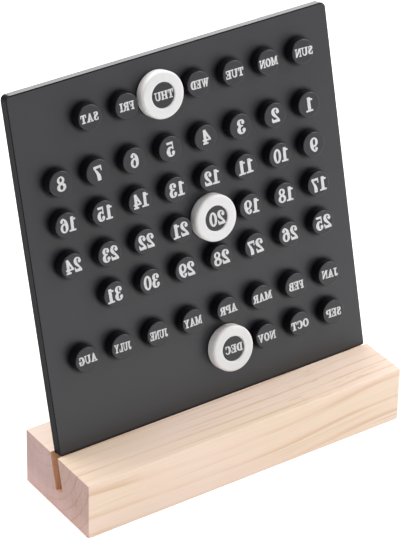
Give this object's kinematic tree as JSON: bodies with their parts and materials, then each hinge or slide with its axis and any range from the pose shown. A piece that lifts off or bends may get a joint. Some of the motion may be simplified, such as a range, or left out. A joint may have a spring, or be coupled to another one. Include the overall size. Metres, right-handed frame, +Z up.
{
  "type": "perpetual desk calendar",
  "caption": "Desk calendar with a leaning board of round weekday, date and month pegs in a slotted wooden base, and loose rings that drop over the pegs to mark the day.",
  "frame": {"origin": "centre of the wooden base's underside, on the surface that it stands on", "axes": "+X along the base, to the right of a person who faces the pegs; -Y towards that person; +Z up"},
  "size_m": [0.164, 0.0699, 0.1816],
  "materials": {
    "pine": "bare sanded softwood, pale, straight grain along the base, growth rings on the ends",
    "board_dark": "very dark grey, satin",
    "peg_dark": "very dark grey, satin, with a white printed legend on the front",
    "ring_white": "white, semi-gloss"
  },
  "bodies": {
    "base": {"wooden_base": "pine"},
    "panel": {"calendar_panel": "board_dark", "peg_sun": "peg_dark", "peg_mon": "peg_dark", "peg_tue": "peg_dark", "peg_wed": "peg_dark", "peg_thu": "peg_dark", "peg_fri": "peg_dark", "peg_sat": "peg_dark", "peg_01": "peg_dark", "peg_02": "peg_dark", "peg_03": "peg_dark", "peg_04": "peg_dark", "peg_05": "peg_dark", "peg_06": "peg_dark", "peg_07": "peg_dark", "peg_08": "peg_dark", "peg_09": "peg_dark", "peg_10": "peg_dark", "peg_11": "peg_dark", "peg_12": "peg_dark", "peg_13": "peg_dark", "peg_14": "peg_dark", "peg_15": "peg_dark", "peg_16": "peg_dark", "peg_17": "peg_dark", "peg_18": "peg_dark", "peg_19": "peg_dark", "peg_20": "peg_dark", "peg_21": "peg_dark", "peg_22": "peg_dark", "peg_23": "peg_dark", "peg_24": "peg_dark", "peg_25": "peg_dark", "peg_26": "peg_dark", "peg_27": "peg_dark", "peg_28": "peg_dark", "peg_29": "peg_dark", "peg_30": "peg_dark", "peg_31": "peg_dark", "peg_jan": "peg_dark", "peg_feb": "peg_dark", "peg_mar": "peg_dark", "peg_apr": "peg_dark", "peg_may": "peg_dark", "peg_jun": "peg_dark", "peg_jul": "peg_dark", "peg_aug": "peg_dark", "peg_sep": "peg_dark", "peg_oct": "peg_dark", "peg_nov": "peg_dark", "peg_dec": "peg_dark"},
    "ring_day": {"ring_day": "ring_white"},
    "ring_date": {"ring_date": "ring_white"},
    "ring_month": {"ring_month": "ring_white"}
  },
  "joints": [
    {"name": "panel_lift", "type": "slide", "parent": "base", "child": "panel", "axis": [0, 0.2521, 0.9677], "range_m": [0, 0.025]},
    {"name": "ring_day_pull", "type": "slide", "parent": "panel", "child": "ring_day", "axis": [0, -0.9677, 0.2521], "range_m": [0, 0.012]},
    {"name": "ring_date_pull", "type": "slide", "parent": "panel", "child": "ring_date", "axis": [0, -0.9677, 0.2521], "range_m": [0, 0.012]},
    {"name": "ring_month_pull", "type": "slide", "parent": "panel", "child": "ring_month", "axis": [0, -0.9677, 0.2521], "range_m": [0, 0.012]}
  ]
}
